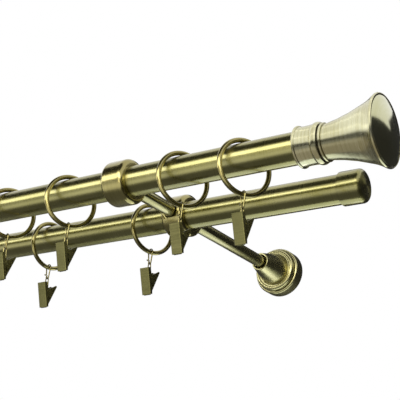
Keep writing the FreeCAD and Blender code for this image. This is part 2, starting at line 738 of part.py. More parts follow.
for side, end in ((1, "right"), (-1, "left")):
    make_finial("finial_" + end, side)
    make_finial_dome("finial_dome_" + end, side)
    make_end_cap("end_cap_" + end, side)
    make_wall_plate("wall_plate_" + end, side)
    make_rose("rose_" + end, side)
    make_collar("rear_collar_" + end, side, REAR, (1, -1))
    make_collar("front_collar_" + end, side, FRONT, (1,))
    seat = "collar_diameter / 2 - arm_socket"
    boss_face = "-(plate_thickness + boss_height)"
    make_arm("front_arm_" + end, side, f"{seat} - {FRONT}", f"-{REAR} - ({seat})", "stud_length")
    make_arm("rear_arm_" + end, side, f"{seat} - {REAR}", boss_face, "boss_height")
make_pole("front_pole", FRONT)
make_pole("rear_pole", REAR)
collars = [(f"{side} * {BRACKET}", f"-{reach}") for side in (1, -1) for reach in (FRONT, REAR)]
make_grub_screws("collar_screws", "grub_diameter", "collar_diameter / 2", collars)
sockets = [(f"{side} * (pole_length / 2 - finial_socket / 2)", f"-{FRONT}") for side in (1, -1)]
make_grub_screws("finial_screws", "grub_small", "finial_neck", sockets)
for name, reach, place_mm, turn_deg in HOOPS:
    height = "pole_diameter / 2 + hoop_wire / 2 + hang_gap - hoop_radius"
    spot = (f"{BRACKET} + {name}_place", f"-{reach}", height, f"-{name}_turn")
    make_hoop(name, spot)
    make_hook("hook_" + name, spot)
    make_link("link_" + name, (*spot[:3], "-clip_turn"))
    low = (spot[0], spot[1], f"{height} - {pin_drop()}", "-clip_turn")
    make_front_jaw("front_jaw_" + name, low)
    make_back_jaw("back_jaw_" + name, low)
    make_spring("spring_" + name, low)

doc.recompute()
for item in doc.Objects:
    if "Invalid" in item.State or "Error" in item.State:
        raise RuntimeError(f"{item.Name} failed: {item.State}")
os.makedirs("parts", exist_ok=True)
for piece in parts:
    if piece.Shape.isNull() or not piece.Shape.isValid():
        raise RuntimeError(f"{piece.Label} has no valid shape")
    piece.Shape.exportStep(f"parts/{piece.Label}.step")
print(len(parts), "pieces")
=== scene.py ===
# %% [markdown]
# # A double curtain pole in antique brass
#
# Two tubes hang on two turned wall brackets. The front tube ends in trumpet finials and the rear one in
# plain caps, and clip rings slide along both. This lesson dresses the exact solids of that pole: each
# cell says what a piece is on the real object, how it could be made, and why this way was chosen.

# %% Load the exact solids
import json
import math

import bmesh
import bpy
import numpy as np
from mathutils import Matrix


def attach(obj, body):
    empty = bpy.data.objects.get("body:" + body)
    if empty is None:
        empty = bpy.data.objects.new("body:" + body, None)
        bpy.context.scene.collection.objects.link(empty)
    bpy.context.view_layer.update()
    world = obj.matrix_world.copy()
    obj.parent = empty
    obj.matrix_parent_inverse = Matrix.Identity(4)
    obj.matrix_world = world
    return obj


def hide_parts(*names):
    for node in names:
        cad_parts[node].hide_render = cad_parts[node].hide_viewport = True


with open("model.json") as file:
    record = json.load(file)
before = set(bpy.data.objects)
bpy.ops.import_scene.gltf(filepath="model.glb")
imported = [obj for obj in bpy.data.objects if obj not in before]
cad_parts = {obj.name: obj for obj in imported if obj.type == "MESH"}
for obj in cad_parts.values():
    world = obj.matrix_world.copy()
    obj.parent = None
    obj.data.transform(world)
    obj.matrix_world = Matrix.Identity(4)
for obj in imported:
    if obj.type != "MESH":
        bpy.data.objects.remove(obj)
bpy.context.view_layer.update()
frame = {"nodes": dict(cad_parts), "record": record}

# %% [markdown]
# ## The camera
#
# The pole is seen from below and from its right end, as someone in the room looks up at it. The camera
# stands where a fit to edges read off the picture puts it, with the pole's main sizes held. Its turn is
# given by three unit vectors, which is plainer than three angles when the view also leans to one side.

# %% Place the camera
MM = 0.001
CAMERA_SPOT = (0.8870, -0.8257, -0.2905)
CAMERA_RIGHT = (0.83462541, 0.54727362, 0.06238597)
CAMERA_UP = (0.1509631, -0.3361983, 0.92961328)
CAMERA_BACK = (0.52972688, -0.76646088, -0.36321777)
SENSOR_MM = 36.0
LENS_MM = 85.05

camera_data = bpy.data.cameras.new("camera")
camera_data.sensor_width = SENSOR_MM
camera_data.lens = LENS_MM
camera_data.clip_start = 0.01
camera = bpy.data.objects.new("camera", camera_data)
axes = Matrix((CAMERA_RIGHT, CAMERA_UP, CAMERA_BACK)).transposed()
camera.matrix_world = Matrix.Translation(CAMERA_SPOT) @ axes.to_4x4()
bpy.context.scene.collection.objects.link(camera)
bpy.context.scene.camera = camera
print("camera at", CAMERA_SPOT, "lens", LENS_MM, "mm")

# %% [markdown]
# ## Colours and nodes
#
# Finishes are chosen on a screen, so their colours are written as the screen shows them and one function
# turns them to the linear values that light is worked out with. A second small function adds a node with
# its settings and its links, which keeps each material short enough to read.


# %% Two helpers for materials
def linear(code):
    """A screen colour such as "#8a8450" as linear red, green, blue and alpha.

    Each channel c in 0..1 becomes c / 12.92 below 0.04045, and ((c + 0.055) / 1.055) ^ 2.4 above it.
    """
    channels = [int(code[place:place + 2], 16) / 255 for place in (1, 3, 5)]
    return [c / 12.92 if c <= 0.04045 else ((c + 0.055) / 1.055) ** 2.4 for c in channels] + [1.0]


def add_node(tree, kind, links=(), **settings):
    """Adds a node. A setting named after an input sets it, any other sets a property; links feed inputs."""
    node = tree.nodes.new(kind)
    for name, value in settings.items():
        label = name.replace("_", " ")
        if label in node.inputs:
            node.inputs[label].default_value = value
        else:
            setattr(node, name, value)
    for name, source in dict(links).items():
        tree.links.new(source, node.inputs[name])
    return node


# %% [markdown]
# ## Brushed and polished antique brass
#
# The tubes are brass-plated, darkened with a patina and brushed on a lathe, so fine lines run round them
# and the darker patina stays in the lines. A noise that is stretched round the tube draws both. Real
# brushing has several lines to a millimetre; here they are coarser, about one a millimetre, so that they
# show at the picture's size. A second, cloudy noise gives the patina its slow change of tone. Grooves and
# recesses, found by ambient occlusion, are darkened in colour: partly the patina no buff reaches, partly
# painted shade. The collars are cast, so they are brushed less than the tubes. A clear lacquer lies over
# all but the clips' sheets and the dark steel.


# %% The brass finish
LINE_MM = 0.9
CLOUD_MM = 30.0
ROUND_MM = 90.0
# Patina and painted shade: grooves and recesses that ambient occlusion finds turn towards a dark colour.
RECESS_MM = 3.0
RECESS_PATINA_AND_SHADE = "#2c2714"
RECESS_DARK = 0.3
RECESS_OPEN = 0.75
RECESS_SAMPLES = 8
LACQUER_ROUGHNESS = 0.12
QUARTER_TURN = 0.25
LINE_DEPTH_MM = 0.02
LINE_ROUGHNESS = 0.1
LINE_LOW = 0.3
LINE_HIGH = 0.7


def antique_brass(name, worn, patina, roughness, contrast, groove, along, line_mm=LINE_MM, brushed=0.0,
                  lacquer=0.0):
    """A brass finish whose lines follow circles round the axis `along`.

    Brushed brass spreads its reflections across the lines: `brushed` is how much more than along them.
    """
    material = bpy.data.materials.new(name)
    material.use_nodes = True
    tree = material.node_tree
    shader = tree.nodes["Principled BSDF"]
    shader.inputs["Metallic"].default_value = 1.0
    shader.inputs["Coat Weight"].default_value = lacquer
    shader.inputs["Coat Roughness"].default_value = LACQUER_ROUGHNESS
    if brushed:
        shader.inputs["Anisotropic"].default_value = brushed
        shader.inputs["Anisotropic Rotation"].default_value = QUARTER_TURN
        circles = add_node(tree, "ShaderNodeTangent", direction_type="RADIAL", axis=along)
        tree.links.new(circles.outputs[0], shader.inputs["Tangent"])
    places = add_node(tree, "ShaderNodeTexCoord")
    fine = 1.0 / (line_mm * MM)
    slow = 1.0 / (ROUND_MM * MM)
    stretch = tuple(fine if axis == along else slow for axis in "XYZ")
    stretched = add_node(tree, "ShaderNodeMapping", {"Vector": places.outputs["Object"]}, Scale=stretch)
    lines = add_node(tree, "ShaderNodeTexNoise", {"Vector": stretched.outputs["Vector"]},
                     Scale=1.0, Detail=3.0, Roughness=0.65)
    cloud = add_node(tree, "ShaderNodeTexNoise", {"Vector": places.outputs["Object"]},
                     Scale=1.0 / (CLOUD_MM * MM), Detail=2.0, Roughness=0.5)
    both = add_node(tree, "ShaderNodeMath", {0: lines.outputs["Fac"], 1: cloud.outputs["Fac"]},
                    operation="ADD")
    share = add_node(tree, "ShaderNodeMapRange", {"Value": both.outputs[0]})
    share.inputs["From Min"].default_value = 1.0 - 0.5 / contrast
    share.inputs["From Max"].default_value = 1.0 + 0.5 / contrast
    tint = add_node(tree, "ShaderNodeMix", {"Factor": share.outputs[0]}, data_type="RGBA")
    tint.inputs["A"].default_value = linear(patina)
    tint.inputs["B"].default_value = linear(worn)
    # Patina and painted shade: the base colour darkens where ambient occlusion finds a groove or recess.
    open_share = add_node(tree, "ShaderNodeAmbientOcclusion", samples=RECESS_SAMPLES,
                          Distance=RECESS_MM * MM)
    depth = add_node(tree, "ShaderNodeMapRange", {"Value": open_share.outputs["AO"]})
    depth.inputs["From Min"].default_value = RECESS_DARK
    depth.inputs["From Max"].default_value = RECESS_OPEN
    aged_and_shaded = add_node(tree, "ShaderNodeMix", {"Factor": depth.outputs[0], "B": tint.outputs["Result"]},
                    data_type="RGBA")
    aged_and_shaded.inputs["A"].default_value = linear(RECESS_PATINA_AND_SHADE)
    tree.links.new(aged_and_shaded.outputs["Result"], shader.inputs["Base Color"])
    rough = add_node(tree, "ShaderNodeMapRange", {"Value": lines.outputs["Fac"]})
    rough.inputs["From Min"].default_value = LINE_LOW
    rough.inputs["From Max"].default_value = LINE_HIGH
    rough.inputs["To Min"].default_value = roughness * (1.0 - LINE_ROUGHNESS * contrast)
    rough.inputs["To Max"].default_value = roughness * (1.0 + LINE_ROUGHNESS * contrast)
    tree.links.new(rough.outputs[0], shader.inputs["Roughness"])
    if groove:
        bump = add_node(tree, "ShaderNodeBump", {"Height": lines.outputs["Fac"]}, Strength=groove)
        bump.inputs["Distance"].default_value = LINE_DEPTH_MM * MM
        tree.links.new(bump.outputs["Normal"], shader.inputs["Normal"])
    return material


tube_brass = antique_brass("brushed_antique_brass_tube", "#a8a268", "#8f8a4d", 0.30, 1.4, 0.12, along="X",
                           brushed=0.9, lacquer=0.8)
arm_brass = antique_brass("brushed_antique_brass_arm", "#b4ae7a", "#9a955e", 0.24, 0.5, 0.0, along="Y",
                          line_mm=4.0, brushed=0.7, lacquer=0.8)
collar_brass = antique_brass("cast_antique_brass_collar", "#b3a96c", "#948a4c", 0.22, 1.4, 0.1, along="X",
                             brushed=0.4, lacquer=0.8)
rose_brass = antique_brass("turned_antique_brass_rose", "#cfc890", "#b3ac72", 0.26, 0.5, 0.0, along="Y",
                           line_mm=4.0, lacquer=0.8)
trumpet_brass = antique_brass("brushed_bright_brass_trumpet", "#dcdab8", "#bcb68a", 0.24, 1.6, 0.15,
                              along="X", brushed=0.6, lacquer=0.3)
dome_brass = antique_brass("polished_bright_brass_dome", "#d8d8b8", "#c4c294", 0.13, 1.2, 0.0, along="X",
                           lacquer=0.3)
wire_brass = antique_brass("drawn_brass_wire", "#a89c5f", "#857d45", 0.20, 1.2, 0.0, along="Z", line_mm=3.0,
                           lacquer=0.6)
sheet_brass = antique_brass("satin_antique_brass_sheet", "#8a8656", "#6b6840", 0.36, 1.4, 0.3, along="Z")
dark_steel = antique_brass("browned_steel", "#6d6750", "#4c4836", 0.35, 1.5, 0.2, along="Z")

# %% [markdown]
# ## Turned surfaces
#
# Caps, arms, roses and finials are turned on a lathe, and a drawn tube is as round. Their outline is a row
# of points, each reached by a straight line or an arc, and carrying it round an axis gives the surface. One
# function samples the arcs, one breaks the sharp corners as a maker does with a file, and one turns them.


# %% Outline helpers
ARC_STEP = math.radians(5.0)
CUT_SHARE = 0.45


def arc(start, end, radius, side):
    """Points on an arc: centre = mid-chord + side * left normal * sqrt(radius^2 - half chord^2)."""
    start, end = np.array(start), np.array(end)
    chord = end - start
    length = np.hypot(*chord)
    normal = np.array((-chord[1], chord[0])) / length * side
    centre = start + chord / 2 + normal * math.sqrt(max(radius**2 - length**2 / 4, 0.0))
    first = math.atan2(*(start - centre)[::-1])
    last = math.atan2(*(end - centre)[::-1])
    sweep = side * (side * (last - first) % math.tau)
    count = max(2, math.ceil(abs(sweep) / ARC_STEP))
    angles = first + sweep * np.arange(1, count + 1) / count
    return centre + radius * np.stack((np.cos(angles), np.sin(angles)), axis=1)


def outline(points, closed=False):
    """An outline in millimetres as an array: a point (a, b) ends a line, (a, b, radius, side) an arc."""
    rows = [np.array([points[0][:2]], float)]
    for before, here in zip(points, points[1:] + points[:1] if closed else points[1:]):
        if len(here) == 2:
            rows.append(np.array([here], float))
        else:
            rows.append(arc(before[:2], here[:2], here[2], here[3]))
    line = np.concatenate(rows)
    return line[:-1] if closed else line


def break_corners(line, radius, closed=False, least=25.0):
    """Rounds each corner that turns by more than `least` degrees with a small curve.

    It leaves both sides at radius * tan(turn / 2) from the corner, or at CUT_SHARE of the shorter side if
    that is less, and is the parabola (1 - t)^2 * start + 2 * t * (1 - t) * corner + t^2 * end. A side of
    length zero would divide by zero.
    """
    count = len(line)
    out = []
    for index in range(count):
        here = line[index]
        if not closed and index in (0, count - 1):
            out.append(here[None])
            continue
        back, ahead = line[index - 1] - here, line[(index + 1) % count] - here
        near, far = np.hypot(*back), np.hypot(*ahead)
        turn = math.pi - math.acos(np.clip(back @ ahead / (near * far), -1, 1))
        if math.degrees(turn) < least:
            out.append(here[None])
            continue
        cut = min(radius * math.tan(turn / 2), CUT_SHARE * near, CUT_SHARE * far)
        start, end = here + back / near * cut, here + ahead / far * cut
        share = np.linspace(0, 1, 4)[:, None]
        out.append((1 - share)**2 * start + 2 * share * (1 - share) * here + share**2 * end)
    return np.concatenate(out)


# %% [markdown]
# ## From arrays to meshes
#
# A surface is a grid of points. Its faces follow from the grid's indices alone, so numpy works them out
# at once. Points that fall together, as at the middle of a disc, are merged, the faces are turned
# outwards, and only the real corners are kept sharp.


# %% Make a mesh from a grid
def piece_from(name, mesh, node, body, finish, sharp=32.0):
    """Shows a mesh in the place of a solid, on its body, with the finish of its material."""
    mesh.polygons.foreach_set("use_smooth", np.ones(len(mesh.polygons), bool))
    mesh.set_sharp_from_angle(angle=math.radians(sharp))
    mesh.materials.clear()
    mesh.materials.append(finish)
    piece = bpy.data.objects.new(name, mesh)
    bpy.context.scene.collection.objects.link(piece)
    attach(piece, body)
    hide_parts(node)
    return piece


def tidy(mesh):
    """Merges points that fall together and turns the faces outwards."""
    work = bmesh.new()
    work.from_mesh(mesh)
    bmesh.ops.remove_doubles(work, verts=work.verts, dist=1e-7)
    bmesh.ops.dissolve_degenerate(work, edges=work.edges, dist=1e-8)
    bmesh.ops.recalc_face_normals(work, faces=work.faces)
    work.to_mesh(mesh)
    work.free()
    return mesh


def grid_mesh(name, points, wrap_rows):
    """A grid of points, rows by columns, as a mesh whose columns wrap, and whose rows may wrap too.

    Face (i, j) joins the points (i, j), (i + 1, j), (i + 1, j + 1) and (i, j + 1).
    """
    rows, columns = points.shape[:2]
    number = np.arange(rows * columns).reshape(rows, columns)
    ahead = np.roll(number, -1, axis=0) if wrap_rows else number[1:]
    here = number if wrap_rows else number[:-1]
    corners = (here, ahead, np.roll(ahead, -1, axis=1), np.roll(here, -1, axis=1))
    faces = np.stack(corners, axis=-1).reshape(-1, 4)
    mesh = bpy.data.meshes.new(name)
    mesh.from_pydata(points.reshape(-1, 3).tolist(), [], faces.tolist())
    return tidy(mesh)


record = frame["record"]
body_of = {node: body for body, nodes in record["behaviour"]["bodies"].items() for node in nodes}


def turn(name, node, line, origin, axis, finish, closed=False, sectors=96, edge=0.25):
    """Turns an outline (place along the axis, radius) in millimetres about an axis through origin.

    A point at place a, radius r and angle w is origin + a * axis + r * (cos w * side + sin w * up).
    """
    line = break_corners(line, edge, closed)
    axis = np.array(axis, float)
    side = np.array((0.0, 0.0, 1.0))
    up = np.cross(axis, side)
    angle = np.linspace(0, math.tau, sectors, endpoint=False)
    spoke = np.cos(angle)[:, None] * side + np.sin(angle)[:, None] * up
    points = line[:, None, :1] * axis + line[:, None, 1:] * spoke + np.array(origin)
    mesh = grid_mesh(name, points * MM, closed)
    piece_from(name, mesh, node, body_of[node], finish)


# %% [markdown]
# ## The two tubes
#
# Each tube is a plain drawn tube of 25 mm. Its ends are inside the finials and the caps, so a closed
# outline of its wall is all it needs. A cylinder primitive would do for its shape, but turning it like
# the rest gives it its wall and its broken edges.

# %% Turn the tubes
POLE_LENGTH = 1200.0
POLE_RADIUS = 12.5
POLE_WALL = 1.2
FRONT_Y = -270.0
REAR_Y = -185.0
half = POLE_LENGTH / 2
inner = POLE_RADIUS - POLE_WALL
wall = [(-half, inner), (half, inner), (half, POLE_RADIUS), (-half, POLE_RADIUS)]
for node, reach in (("front_pole", FRONT_Y), ("rear_pole", REAR_Y)):
    turn(node + "_tube", node, outline(wall, True), (0, reach, 0), (1, 0, 0), tube_brass, closed=True,
         sectors=128)
print("tubes:", POLE_LENGTH, "mm long")

# %% [markdown]
# ## The end caps
#
# A cap is a thin cup with a rounded rim and a slightly crowned end, pressed over the rear tube.

# %% Turn the end caps
CAP_RADIUS = 14.1
CAP_SOCKET = 17.6
CAP_END_WALL = 2.2
CAP_END = CAP_SOCKET + CAP_END_WALL
CAP_ROUND = 3.8
CAP_CROWN = 0.9
face = CAP_RADIUS - CAP_ROUND
crown = (face**2 + CAP_CROWN**2) / (2 * CAP_CROWN)
BORE = POLE_RADIUS + 0.1
cap = [
    (CAP_END + CAP_CROWN, 0),
    (CAP_END, face, crown, 1),
    (CAP_END - CAP_ROUND, CAP_RADIUS, CAP_ROUND, 1),
    (0, CAP_RADIUS),
    (0, BORE),
    (CAP_SOCKET, BORE),
    (CAP_SOCKET, 0),
]
for side, end in ((1, "right"), (-1, "left")):
    spot = (side * (half - CAP_SOCKET), REAR_Y, 0)
    turn("end_cap_cup_" + end, "end_cap_" + end, outline(cap), spot, (side, 0, 0), tube_brass, edge=0.3)

# %% [markdown]
# ## The finials
#
# The finial is the showpiece: a lip, a waisted neck, a round bead, a thin ring, a trumpet that flares in
# two curves to its rim, and a shallow dome that closes it. The outline goes round the whole section, so
# the socket for the tube and the hollow behind the dome are there too.

# %% Turn the finials
LIP = 16.1
LIP_WIDTH = 2.0
NECK = 14.9
NECK_END = 14.1
BEAD_END = NECK_END + 5.2
BEAD_RISE = 1.0
RING = 14.8
RING_WIDTH = 1.8
WAIST = 13.2
FLARE_START = 22.2
FLARE_MIDDLE = 53.0
MIDDLE_RADIUS = 21.1
RIM_START = 64.4
RIM_WIDTH = 2.2
RIM = 27.2
RIM_LAND = 1.1
SOCKET = 11.3
FINIAL_WALL = 2.2
DOME_PLAY = 0.9
DOME_EDGE = 1.6
DOME_RISE = 4.2
DOME_BACK_PLAY = 0.3
HOLLOW_START = 26.0
HOLLOW_FOOT = 9.5
FLARE_OUTER_CURVE = 40.0
FLARE_INNER_CURVE = 128.0
NECK_CURVE = 60.0
RING_CURVE = 0.65 * RING_WIDTH
LIP_CURVE = 0.6 * LIP_WIDTH
bead_curve = ((BEAD_END - NECK_END) ** 2 / 4 + BEAD_RISE**2) / (2 * BEAD_RISE)
seat = RIM - RIM_LAND
ledge = RIM_START + RIM_WIDTH - DOME_EDGE - DOME_BACK_PLAY
trumpet = [
    (HOLLOW_START, 0),
    (HOLLOW_START, HOLLOW_FOOT),
    (RIM_START - FINIAL_WALL, seat - 2 * FINIAL_WALL),
    (ledge, seat - 2 * FINIAL_WALL),
    (ledge, seat),
    (RIM_START + RIM_WIDTH, seat),
    (RIM_START + RIM_WIDTH, RIM - RIM_LAND / 2),
    (RIM_START + RIM_WIDTH / 2, RIM, RIM_WIDTH, 1),
    (RIM_START, RIM - RIM_LAND / 2, RIM_WIDTH, 1),
    (FLARE_MIDDLE, MIDDLE_RADIUS, FLARE_OUTER_CURVE, -1),
    (FLARE_START, WAIST, FLARE_INNER_CURVE, -1),
    (FLARE_START, RING - RING_WIDTH / 3),
    (FLARE_START - RING_WIDTH, RING - RING_WIDTH / 3, RING_CURVE, 1),
    (FLARE_START - RING_WIDTH, WAIST),
    (BEAD_END, WAIST),
    (BEAD_END, NECK),
    (NECK_END, NECK, bead_curve, 1),
    (LIP_WIDTH, NECK, NECK_CURVE, -1),
    (LIP_WIDTH, LIP - LIP_WIDTH / 3),
    (0, LIP - LIP_WIDTH / 3, LIP_CURVE, 1),
    (0, BORE),
    (SOCKET, BORE),
    (SOCKET, 0),
]
dome_edge = seat - DOME_PLAY
dome_back = RIM_START + RIM_WIDTH - DOME_EDGE
dome_curve = (dome_edge**2 + DOME_RISE**2) / (2 * DOME_RISE)
dome = [
    (dome_back + DOME_EDGE + DOME_RISE, 0),
    (dome_back + DOME_EDGE, dome_edge, dome_curve, 1),
    (dome_back, dome_edge),
    (dome_back, 0),
]
for side, end in ((1, "right"), (-1, "left")):
    spot = (side * (half - SOCKET), FRONT_Y, 0)
    turn("finial_trumpet_" + end, "finial_" + end, outline(trumpet), spot, (side, 0, 0), trumpet_brass,
         sectors=128, edge=0.15)
    turn("finial_cover_" + end, "finial_dome_" + end, outline(dome), spot, (side, 0, 0), dome_brass,
         sectors=128, edge=0.3)
print("finial:", RIM_START + RIM_WIDTH, "mm from lip to rim")

# %% [markdown]
# ## The bracket arms and the cover roses
#
# A rod joins the wall plate to the rear collar and a second one joins the two collars. Round the foot of
# the first one stands the rose, a hollow turned cover: a drum, a raised ring between two grooves, and a
# cone that narrows towards the arm. The drum's round shoulder ends 0.1 mm short of the groove: a rounder
# one would leave a side of length zero, which the corner rounding can't take.

# %% Turn the arms and the roses
BRACKET_X = 426.0
ARM_RADIUS = 6.0
STUD_RADIUS = 4.0
COLLAR_REACH = 19.0
ARM_SOCKET = 1.6
COLLAR_SEAT = COLLAR_REACH - ARM_SOCKET
BOSS_FACE = -11.0
SHORT_STUD = 4.2
LONG_STUD = 8.0
for side, end in ((1, "right"), (-1, "left")):
    for node, near, far, tail in (
        ("front_arm_" + end, FRONT_Y + COLLAR_SEAT, REAR_Y - COLLAR_SEAT, SHORT_STUD),
        ("rear_arm_" + end, REAR_Y + COLLAR_SEAT, BOSS_FACE, LONG_STUD),
    ):
        bar = [
            (near - SHORT_STUD, 0), (near - SHORT_STUD, STUD_RADIUS), (near, STUD_RADIUS),
            (near, ARM_RADIUS), (far, ARM_RADIUS), (far, STUD_RADIUS), (far + tail, STUD_RADIUS),
            (far + tail, 0),
        ]
        turn(node + "_rod", node, outline(bar), (side * BRACKET_X, 0, 0), (0, 1, 0), arm_brass)

ROSE = 24.0
ROSE_WALL = 1.5
DRUM = 12.5
DRUM_ROUND = 1.9
STEP_ROUND = 2.5
STEP = 21.4
STEP_TOP = 18.0
STEP_IN = 18.4
GROOVE = 0.8
GROOVE_WIDTH = 0.6
CONE_FOOT = 16.4
CONE_MOUTH = 9.0
CONE_TOP = 46.4
MOUTH_ROUND = 0.6
step_floor = GROOVE - STEP_TOP
inner_floor = step_floor + ROSE_WALL
drum_floor = GROOVE - DRUM
inner_drum = drum_floor + ROSE_WALL
rose = [
    (0, ROSE),
    (DRUM_ROUND - DRUM, ROSE),
    (-DRUM, ROSE - DRUM_ROUND, DRUM_ROUND, 1),
    (-DRUM, STEP + GROOVE_WIDTH),
    (drum_floor, STEP + GROOVE_WIDTH),
    (drum_floor, STEP),
    (STEP_ROUND - STEP_TOP, STEP),
    (-STEP_TOP, STEP - STEP_ROUND, STEP_ROUND, 1),
    (-STEP_TOP, STEP_IN),
    (step_floor, STEP_IN - GROOVE_WIDTH),
    (step_floor, CONE_FOOT),
    (-STEP_TOP, CONE_FOOT),
    (MOUTH_ROUND - CONE_TOP, CONE_MOUTH),
    (-CONE_TOP, CONE_MOUTH - MOUTH_ROUND, MOUTH_ROUND, 1),
    (-CONE_TOP, CONE_MOUTH - ROSE_WALL),
    (-STEP_TOP, CONE_FOOT - ROSE_WALL),
    (inner_floor, CONE_FOOT - ROSE_WALL),
    (inner_floor, STEP - ROSE_WALL),
    (inner_drum, STEP - ROSE_WALL),
    (inner_drum, ROSE - ROSE_WALL),
    (0, ROSE - ROSE_WALL),
]
for side, end in ((1, "right"), (-1, "left")):
    turn("rose_cover_" + end, "rose_" + end, outline(rose, True), (side * BRACKET_X, 0, 0), (0, 1, 0),
         rose_brass, closed=True, sectors=128, edge=0.2)

# %% [markdown]
# ## Rings, hooks and links
#
# These are bent from round wire: a closed ring on the tube, a small hook over it that ends in an eye, and
# a link that drops from the eye to the clip. A wire is a circle carried along a flat path, so the path's
# plane gives every circle its direction and nothing twists. Its ends are rounded off.


# %% Carry a wire along a flat path
def wire(name, node, path, plane, origin, radius, finish, closed=False, sides=20, ends=5):
    """Carries a circle along a path in a plane (first axis, second axis), in millimetres.

    A point at the circle's angle w is path + radius * (cos w * outwards + sin w * plane normal), where
    outwards is the path's direction turned by a quarter in its plane. A free end closes like a half ball:
    its circles move on by radius * sin v and shrink to radius * cos v.
    """
    first, second = (np.array(axis, float) for axis in plane)
    normal = np.cross(first, second)
    if closed:
        way = np.roll(path, -1, axis=0) - np.roll(path, 1, axis=0)
    else:
        way = np.gradient(path, axis=0)
    way /= np.hypot(way[:, 0], way[:, 1])[:, None]
    size = np.full(len(path), radius)
    if not closed:
        bend = np.linspace(0, math.pi / 2, ends + 1)[1:]
        step = radius * np.sin(bend)[:, None]
        path = np.concatenate((path[0] - step[::-1] * way[0], path, path[-1] + step * way[-1]))
        size = np.concatenate((radius * np.cos(bend)[::-1], size, radius * np.cos(bend)))
        way = np.concatenate((np.repeat(way[:1], ends, 0), way, np.repeat(way[-1:], ends, 0)))
    spine = path[:, :1] * first + path[:, 1:] * second
    outwards = -way[:, 1:] * first + way[:, :1] * second
    angle = np.linspace(0, math.tau, sides, endpoint=False)[None, :, None]
    spoke = np.cos(angle) * outwards[:, None] + np.sin(angle) * normal
    points = spine[:, None] + size[:, None, None] * spoke + np.array(origin)
    mesh = grid_mesh(name, points * MM, closed)
    piece_from(name, mesh, node, body_of[node], finish)


# %% [markdown]
# ## Where each ring hangs
#
# The rings hang where the picture shows them, each turned a little about the upright. Their places are
# written once here; everything that hangs from a ring is worked out in the ring's own turned axes.

# %% Bend the wires
HOOPS = [
    ("ring_1", FRONT_Y, 299.5, 25.0),
    ("ring_2", FRONT_Y, 369.9, 24.6),
    ("ring_3", FRONT_Y, 485.5, 25.3),
    ("ring_4", FRONT_Y, 541.6, 27.4),
    ("ring_5", REAR_Y, 272.4, 9.0),
    ("ring_6", REAR_Y, 394.3, 17.0),
]
HOOP = 22.0
HOOP_WIRE = 2.0
HANG_GAP = 0.3
HOOK_WIRE = 0.6
LINK_WIRE = 0.5
EYE = 1.7
LINK_HALF = 2.5
LINK_DROP = 16.0
HOOK_TAIL = 5.6
HOOK_LEG = 9.3
CLIP_TURN = math.radians(3.6)
CURL = 1.2
CURL_ACROSS = 1.8
CURL_DOWN = 0.4
slope = math.radians(8.0)
bend = HOOP_WIRE + HOOK_WIRE + HANG_GAP
side_x, drop = bend * math.cos(slope), bend * math.sin(slope)
tail = (HOOK_TAIL * math.sin(slope) - side_x, -HOOP - drop - HOOK_TAIL * math.cos(slope))
leg = (side_x - HOOK_LEG * math.sin(slope), -HOOP - drop - HOOK_LEG * math.cos(slope))
eye = (leg[0] - EYE * math.cos(slope), leg[1] + EYE * math.sin(slope))
hook_path = outline([
    (tail[0] - CURL_ACROSS * CURL, tail[1] - CURL_DOWN * CURL),
    (*tail, CURL, 1),
    (-side_x, -HOOP - drop),
    (0, -HOOP + bend, bend, -1),
    (side_x, -HOOP - drop, bend, -1),
    leg,
    (eye[0], eye[1] - EYE, EYE, -1),
    (eye[0] - EYE, eye[1], EYE, -1),
    (eye[0] - EYE / 2, eye[1] + EYE * math.cos(math.radians(30)), EYE, -1),
])
link_top = HOOK_WIRE + LINK_WIRE + HANG_GAP
high = -(HOOP + drop + HOOK_LEG * math.cos(slope) - EYE * math.sin(slope) + EYE)
low = high + link_top - LINK_DROP + LINK_HALF
lean = math.asin((LINK_HALF - link_top) / (high - low))
link_path = outline([
    (LINK_HALF * math.cos(lean), low + LINK_HALF * math.sin(lean)),
    (link_top * math.cos(lean), high + link_top * math.sin(lean)),
    (-link_top * math.cos(lean), high + link_top * math.sin(lean), link_top, 1),
    (-LINK_HALF * math.cos(lean), low + LINK_HALF * math.sin(lean)),
    (LINK_HALF * math.cos(lean), low + LINK_HALF * math.sin(lean), LINK_HALF, 1),
], True)
round_path = np.linspace(0, math.tau, 120, endpoint=False)
hoop_path = HOOP * np.stack((np.cos(round_path), np.sin(round_path)), axis=1)
up = (0, 0, 1)
facing = (math.sin(CLIP_TURN), math.cos(CLIP_TURN), 0)
for name, reach, place, degrees in HOOPS:
    turned = math.radians(degrees)
    across = (math.cos(turned), -math.sin(turned), 0)
    around = (math.sin(turned), math.cos(turned), 0)
    origin = (place, reach, POLE_RADIUS + HOOP_WIRE + HANG_GAP - HOOP)
    wire(name + "_hoop", name, hoop_path, (around, up), origin, HOOP_WIRE, wire_brass, True, sides=28)
    wire("hook_wire_" + name, "hook_" + name, hook_path, (across, up), origin, HOOK_WIRE, wire_brass)
    wire("link_wire_" + name, "link_" + name, link_path, (facing, up), origin, LINK_WIRE, wire_brass, True)
print("rings:", len(HOOPS))

# %% [markdown]
# ## Collars, clips and springs
#
# These have cut or folded details that the solids already hold exactly: the seats and holes of the
# collars, the ears and flanges of the jaws. So each is a copy of its solid, with its loose triangles
# merged and flat faces joined again. Only the jaws get a small bevel, which catches the light as a rounded
# edge does. A spring is two pieces: its coil with the bridge stays on the clip, and its back legs go with
# the back jaw.


# %% Soften copies of the solids
EDGE_DEGREES = 35.0


